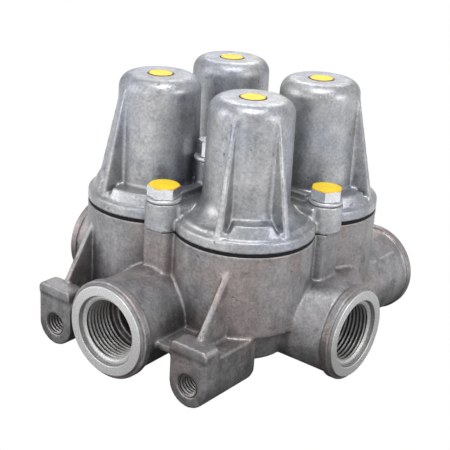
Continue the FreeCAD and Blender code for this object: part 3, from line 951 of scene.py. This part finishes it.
@dataclass(frozen=True)
class HexHead:
    """Hexagon head with a groove under it and a turned chamfer, and its shank, in millimetres."""

    across: float
    height: float
    shank: float
    shank_length: float
    groove: float = 0.3
    crown_inset: float = 0.05
    chamfer: float = 0.4

    def side(self, angle: float) -> float:
        """Returns the distance from the axis to the head's side in a direction."""
        sector = math.tau / 6
        return self.across / 2 / math.cos((angle + sector / 2) % sector - sector / 2)

    def crown(self, reach: float) -> float:
        """Returns how far the chamfer lies below the head's top at a distance from the axis."""
        return max(0.0, reach - self.across / 2 + self.crown_inset) * self.chamfer

    def outline(self, angle: float, bottom: float) -> Outline:
        """Gives the bolt's outline in one direction.

        Args:
            angle: direction in radians.
            bottom: height of the head's underside.

        Returns:
            Radius and height pairs from the shank's end to the middle of the top.
        """
        top = bottom + self.height
        neck = self.across / 2 - self.groove
        foot = bottom + self.groove
        side = self.side(angle)
        return (
            (0.0, bottom - self.shank_length),
            (self.shank, bottom - self.shank_length),
            (self.shank, bottom),
            (neck, bottom),
            (neck, foot),
            (side, foot),
            (side, top - self.crown(side)),
            (self.across / 2 - self.crown_inset, top),
            (0.0, top),
        )


@dataclass(frozen=True)
class Fasteners:
    """Bolts of one size with their washers, in millimetres."""

    name: str
    head: HexHead
    spots: tuple[Spot, ...]
    seat: float
    washer: float
    hole: float
    thickness: float
    washer_edge: float = 0.3
    head_crease: float = 12.0
    washer_crease: float = 50.0
    steps: int = 96

    def washer_outline(self) -> Outline:
        """Returns radius and height pairs round the washer's section."""
        top = self.seat + self.thickness
        return (
            (self.hole, self.seat),
            (self.washer - self.washer_edge, self.seat),
            (self.washer, self.seat + self.washer_edge),
            (self.washer, top - self.washer_edge),
            (self.washer - self.washer_edge, top),
            (self.hole, top),
            (self.hole, self.seat),
        )

    def build(self, shelf: FinishShelf) -> list[bpy.types.Object]:
        """Makes the bolts as one piece and the washers as another, in place of their nodes.

        Args:
            shelf: the finishes.

        Returns:
            The bolts and the washers.
        """
        bottom = self.seat + self.thickness
        rings = tuple(Spot(spot.x, spot.y) for spot in self.spots)
        bolts = spun_piece(
            f"{self.name}_bolts_shown", lambda angle: self.head.outline(angle, bottom),
            self.spots, self.steps, self.head_crease,
        )
        washers = spun_piece(
            f"{self.name}_washers_shown", lambda angle: self.washer_outline(),
            rings, self.steps, self.washer_crease,
        )
        shelf.dress(bolts, Finish.ZINC)
        shelf.dress(washers, Finish.WASHER)
        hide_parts(f"{self.name}_bolts")
        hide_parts(f"{self.name}_washers")
        return [bolts, washers]


@dataclass(frozen=True)
class PaintedHead:
    """Sealing paint on a bolt head's top, in millimetres.

    Attributes:
        head: the head it lies on.
        radius: mean reach of the paint.
        film: thickness of the paint.
        dome: how many films thick the middle is.
        thinning: how many films the edge is thinner than the middle.
        edge_thinning: how many films each ring that runs down is thinner than the last.
        run: how far the paint can run down at its edge.
        least_run: smallest share of that run.
        mean_run: mean share of that run.
        run_wave: how much that share waves.
        wave: how far the edge waves in and out.
        ripples: numbers of waves round the edge.
        side_gap: what stays unpainted at the head's sides.
        crease: angle in degrees above which an edge is shaded sharp.
        steps: points round the edge.
        rings: rings of points on the top.
        edge_rings: rings of points that run down.
        seed: start of the random draws.
    """

    head: HexHead
    radius: float = 5.35
    film: float = 0.16
    dome: float = 1.3
    thinning: float = 0.5
    edge_thinning: float = 0.25
    run: float = 0.12
    least_run: float = 0.12
    mean_run: float = 0.45
    run_wave: float = 0.4
    wave: float = 0.12
    ripples: tuple[int, ...] = (1, 2, 3, 5, 8)
    side_gap: float = 0.05
    crease: float = 70.0
    steps: int = 96
    rings: int = 12
    edge_rings: int = 2
    seed: int = 0

    def faces(self) -> list[tuple[int, ...]]:
        """Makes a fan round the middle and quads between the rings.

        Returns:
            Point numbers of each face.
        """
        faces: list[tuple[int, ...]] = [
            (0, 1 + step, 1 + (step + 1) % self.steps) for step in range(self.steps)
        ]
        for ring in range(self.rings + self.edge_rings - 1):
            inner, outer = 1 + ring * self.steps, 1 + (ring + 1) * self.steps
            for step in range(self.steps):
                after = (step + 1) % self.steps
                faces.append((inner + step, outer + step, outer + after, inner + after))
        return faces

    def build(self, name: str, spot: Spot, top: float) -> bpy.types.Object:
        """Makes the paint on one head.

        Args:
            name: name of the piece.
            spot: place and turn of the head.
            top: height of the head's top.

        Returns:
            The piece.
        """
        chance = random.Random(self.seed)
        waves = [(chance.uniform(-1, 1), chance.uniform(0, math.tau), turns) for turns in self.ripples]
        points = [(0.0, 0.0, self.film * self.dome)]
        for ring in range(1, self.rings + self.edge_rings + 1):
            part = min(ring / self.rings, 1.0)
            over = max(0, ring - self.rings)
            for step in range(self.steps):
                angle = math.tau * step / self.steps
                swell = sum(size * math.cos(turns * angle + shift) / turns for size, shift, turns in waves)
                edge = min(self.head.side(angle) - self.side_gap, self.radius + self.wave * swell)
                reach = part * edge + self.side_gap * over
                lift = self.film * (self.dome - self.thinning * part ** 2 - self.edge_thinning * over)
                fall = over * self.run * max(self.least_run, self.mean_run + self.run_wave * swell)
                height = lift - fall - self.head.crown(reach)
                ahead = angle + math.radians(spot.turn)
                points.append((reach * math.cos(ahead), reach * math.sin(ahead), height))
        made = piece_from(name, points, self.faces(), self.crease)
        made.location = Vector((spot.x, spot.y, top)) * MM
        made.visible_glossy = False
        return made


@dataclass(frozen=True)
class BoltWork:
    """All bolts and washers, and the paint on the cover bolts, in millimetres."""

    cover: Fasteners = Fasteners(
        name="cover",
        head=HexHead(across=10.0, height=4.1, shank=2.95, shank_length=29.0),
        spots=(Spot(0, -39.3, 11.0), Spot(39.3, 0, 29.0), Spot(0, 39.3, 5.0), Spot(-39.3, 0, 17.0)),
        seat=64.9,
        washer=6.0,
        hole=3.3,
        thickness=1.3,
    )
    inner: Fasteners = Fasteners(
        name="inner",
        head=HexHead(across=8.0, height=5.6, shank=2.45, shank_length=32.1),
        spots=(Spot(0, -15.6), Spot(0, 15.6)),
        seat=74.2,
        washer=5.5,
        hole=2.8,
        thickness=1.4,
    )
    first_seed: int = 11

    def build(self, shelf: FinishShelf) -> list[bpy.types.Object]:
        """Returns the bolts and washers."""
        return self.cover.build(shelf) + self.inner.build(shelf)

    def paint(self, shelf: FinishShelf) -> list[bpy.types.Object]:
        """Makes the paint on each cover bolt.

        Args:
            shelf: the finishes.

        Returns:
            One piece per bolt.
        """
        top = self.cover.seat + self.cover.thickness + self.cover.head.height
        made = []
        for number, spot in enumerate(self.cover.spots):
            coat = PaintedHead(self.cover.head, seed=self.first_seed + number)
            dab = coat.build(f"paint_{number + 1}", spot, top)
            shelf.dress(dab, Finish.PAINT)
            made.append(dab)
        return made


@dataclass(frozen=True)
class Castings:
    """Softened edges and finishes of the parts that come from the frame, in millimetres.

    The castings' skin lies a little under the machined pieces. Nothing is rounded up to sharp_reach from the
    joint, where the seal is clamped, and all is from soft_reach on.
    """

    voxel: float = 0.4
    rounding: int = 4
    skin: float = 0.07
    joint_low: float = 54.5
    joint_high: float = 55.7
    sharp_reach: float = 0.3
    soft_reach: float = 1.7
    finishes: dict[Slot, Finish] = field(default_factory=lambda: {
        Slot.HOUSING: Finish.HOUSING,
        Slot.COVER: Finish.COVER,
        Slot.RUBBER: Finish.RUBBER,
        Slot.ZINC: Finish.ZINC,
        Slot.SPRING: Finish.SPRING,
        Slot.TURNED: Finish.TURNED,
        Slot.SEAL: Finish.DOT,
    })

    def rounding_group(self) -> bpy.types.NodeTree:
        """Makes the modifier's nodes, which round all edges apart from the flat faces at the seal.

        Returns:
            The node group.
        """
        tree = bpy.data.node_groups.new("cast_rounding", "GeometryNodeTree")
        for way in ("INPUT", "OUTPUT"):
            tree.interface.new_socket("Geometry", in_out=way, socket_type="NodeSocketGeometry")
        graph = NodeGraph(tree)
        mesh = graph.node("NodeGroupInput")
        place = graph.node("GeometryNodeInputPosition")
        middle = (self.joint_low + self.joint_high) / 2 * MM
        half = (self.joint_high - self.joint_low) / 2
        away = abs(graph.height(place) - middle)
        weight = away.ramp((half + self.sharp_reach) * MM, (half + self.soft_reach) * MM)
        blurred = graph.node(
            "GeometryNodeBlurAttribute",
            {"data_type": "FLOAT_VECTOR"},
            {"Value": place, "Iterations": self.rounding, "Weight": weight},
        )
        normal = graph.node("GeometryNodeInputNormal")
        inward = graph.scale(normal, weight * (-self.skin * MM))
        moved = graph.node(
            "GeometryNodeSetPosition", None, {"Geometry": mesh, "Position": blurred, "Offset": inward}
        )
        graph.node("NodeGroupOutput", None, {0: moved})
        return tree

    def soften(self, node: bpy.types.Object, group: bpy.types.NodeTree) -> None:
        """Rounds the edges of a casting.

        Args:
            node: the casting.
            group: the rounding nodes.
        """
        remesh = node.modifiers.new("skin", "REMESH")
        remesh.mode = "VOXEL"
        remesh.voxel_size = self.voxel * MM
        remesh.use_smooth_shade = True
        rounding = node.modifiers.new("rounding", "NODES")
        rounding.node_group = group

    def dress(self, frame: dict, shelf: FinishShelf) -> None:
        """Gives every node its finish, and the castings their soft edges.

        Args:
            frame: what the loaded frame holds.
            shelf: the finishes.
        """
        slots = {part["node"]: Slot(part["material_slot"]) for part in frame["record"]["subparts"]}
        group = self.rounding_group()
        for name, node in frame["nodes"].items():
            finish = self.finishes[slots[name]]
            shelf.dress(node, finish)
            if slots[name] in (Slot.HOUSING, Slot.COVER):
                self.soften(node, group)
            LOG.info("%s: %s", name, finish.name.lower())


def outward(turn: float, rise: float) -> Vector:
    """Returns the direction from the valve to a place at some azimuth and elevation, in radians."""
    return Vector((math.sin(turn) * math.cos(rise), -math.cos(turn) * math.cos(rise), math.sin(rise)))


@dataclass(frozen=True)
class Viewpoint:
    """Camera of the photo, in millimetres and degrees."""

    azimuth: float = 37.03
    elevation: float = 21.7
    roll: float = 3.73
    distance: float = 394.9
    height: float = 44.625
    shift: float = -2.52
    lens: float = 85.08
    sensor: float = 36.0
    far_end: float = 20000.0

    def build(self) -> bpy.types.Object:
        """Makes the camera and lets the scene look through it.

        Returns:
            The camera.
        """
        turn, rise, tilt = (math.radians(part) for part in (self.azimuth, self.elevation, self.roll))
        back = outward(turn, rise)
        right = Vector((math.cos(turn), math.sin(turn), 0.0))
        up = back.cross(right)
        across = right * math.cos(tilt) + up * math.sin(tilt)
        upward = up * math.cos(tilt) - right * math.sin(tilt)
        target = right * self.shift + Vector((0, 0, self.height))
        data = bpy.data.cameras.new("photo_camera")
        data.lens = self.lens
        data.sensor_width = self.sensor
        data.clip_end = self.far_end * MM
        camera = bpy.data.objects.new("photo_camera", data)
        place = Matrix((across, upward, back)).transposed().to_4x4()
        place.translation = (target + back * self.distance) * MM
        camera.matrix_world = place
        bpy.context.scene.collection.objects.link(camera)
        bpy.context.scene.camera = camera
        return camera


@dataclass(frozen=True)
class Softbox:
    """White area light aimed at the middle of the valve, in millimetres, degrees and watts."""

    name: str
    azimuth: float
    elevation: float
    distance: float
    width: float
    depth: float
    power: float
    aim: float = 50.0

    def build(self) -> bpy.types.Object:
        """Makes the light.

        Returns:
            The light, linked to the scene.
        """
        out = outward(math.radians(self.azimuth), math.radians(self.elevation))
        data = bpy.data.lights.new(self.name, "AREA")
        data.shape = "RECTANGLE"
        data.size = self.width * MM
        data.size_y = self.depth * MM
        data.energy = self.power
        light = bpy.data.objects.new(self.name, data)
        light.location = (out * self.distance + Vector((0, 0, self.aim))) * MM
        light.rotation_euler = out.to_track_quat("Z", "Y").to_euler()
        bpy.context.scene.collection.objects.link(light)
        return light


@dataclass(frozen=True)
class Studio:
    """Surroundings, floor and soft lights, in millimetres.

    The floor is as bright as floor_near up to the distance near, and as floor_far from the distance far; the
    darker middle is a painted shadow round the valve's foot.
    """

    sky: Colour = (0.62, 0.62, 0.6324)
    floor_size: float = 3000.0
    floor_drop: float = 0.05
    floor_near: float = 0.12
    floor_far: float = 0.85
    near: float = 80.0
    far: float = 190.0
    lights: tuple[Softbox, ...] = (
        Softbox("top_light", 40, 74, distance=620, width=300, depth=170, power=1.7),
        Softbox("back_light", 215, 40, distance=800, width=420, depth=200, power=1.2),
        Softbox("right_light", 95, 18, distance=800, width=260, depth=420, power=1.3),
        Softbox("front_light", 2, 16, distance=800, width=240, depth=380, power=1.0),
        Softbox("left_light", -42, 20, distance=800, width=260, depth=420, power=1.1),
    )

    def surroundings(self) -> bpy.types.World:
        """Makes a world of one pale colour, which looks white to the camera.

        Returns:
            The world.
        """
        world = bpy.data.worlds.new("studio")
        world.use_nodes = True
        graph = NodeGraph(world.node_tree)
        lit = graph.node("ShaderNodeBackground", None, {"Color": self.sky})
        both = graph.background(lit, "ShaderNodeBackground")
        graph.node("ShaderNodeOutputWorld", None, {"Surface": both})
        return world

    def floor_finish(self) -> bpy.types.Material:
        """Makes a matt material, darker round the valve's foot as a painted shadow, which looks white to the
        camera.

        Returns:
            The material.
        """
        made = bpy.data.materials.new("studio_floor")
        made.use_nodes = True
        graph = NodeGraph(made.node_tree)
        # Painted shadow: the floor is darker round the valve's foot.
        pale = graph.radius(graph.place()).ramp(self.near, self.far, self.floor_near, self.floor_far)
        inputs = {"Base Color": graph.scale(WHITE, pale), "Roughness": 1.0, "Specular IOR Level": 0.0}
        matt = graph.node("ShaderNodeBsdfPrincipled", None, inputs)
        both = graph.background(matt, "ShaderNodeEmission")
        graph.node("ShaderNodeOutputMaterial", None, {"Surface": both})
        return made

    def build(self) -> list[bpy.types.Object]:
        """Makes the surroundings, the floor and the lights.

        Returns:
            The floor and the lights.
        """
        scene = bpy.context.scene
        scene.view_settings.view_transform = "Standard"
        scene.world = self.surroundings()
        half, level = self.floor_size / 2, -self.floor_drop
        corners = [(-half, -half, level), (half, -half, level), (half, half, level), (-half, half, level)]
        floor = piece_from("studio_floor", corners, [(0, 1, 2, 3)])
        floor.data.materials.append(self.floor_finish())
        floor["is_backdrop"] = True
        return [floor, *(light.build() for light in self.lights)]


def attach(pieces: Iterable[bpy.types.Object], body: str, slot: Slot) -> None:
    """Lets pieces move with a body.

    Args:
        pieces: the pieces.
        body: name of the body.
        slot: material slot; not used.
    """
    for piece in pieces:
        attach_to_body(piece, body)


def write_size(stage: str, sizes: dict[str, object]) -> None:
    """Args:
        stage: name of the moment.
        sizes: sizes gathered so far, by moment.
    """
    sizes[stage] = [[round(float(part), 6) for part in corner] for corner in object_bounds()]


def main() -> None:
    """Builds the valve's looks round its frame."""
    logging.basicConfig(level=logging.INFO, format="%(message)s")
    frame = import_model()
    sizes: dict[str, object] = {}
    write_size("loaded", sizes)
    shelf = FinishShelf()
    Castings().dress(frame, shelf)
    bolts = BoltWork()
    groups: dict[str, tuple[Builder, Slot]] = {
        "ports": (Ports().build, Slot.HOUSING),
        "ear threads": (EarThreads().build, Slot.HOUSING),
        "bolts": (bolts.build, Slot.ZINC),
        "paint": (bolts.paint, Slot.SEAL),
    }
    for name, (build, slot) in groups.items():
        pieces = build(shelf)
        attach(pieces, BODY, slot)
        LOG.info("%s: %s", name, ", ".join(piece.name for piece in pieces))
    Studio().build()
    Viewpoint().build()
    write_size("finished", sizes)


if __name__ == "__main__":
    main()
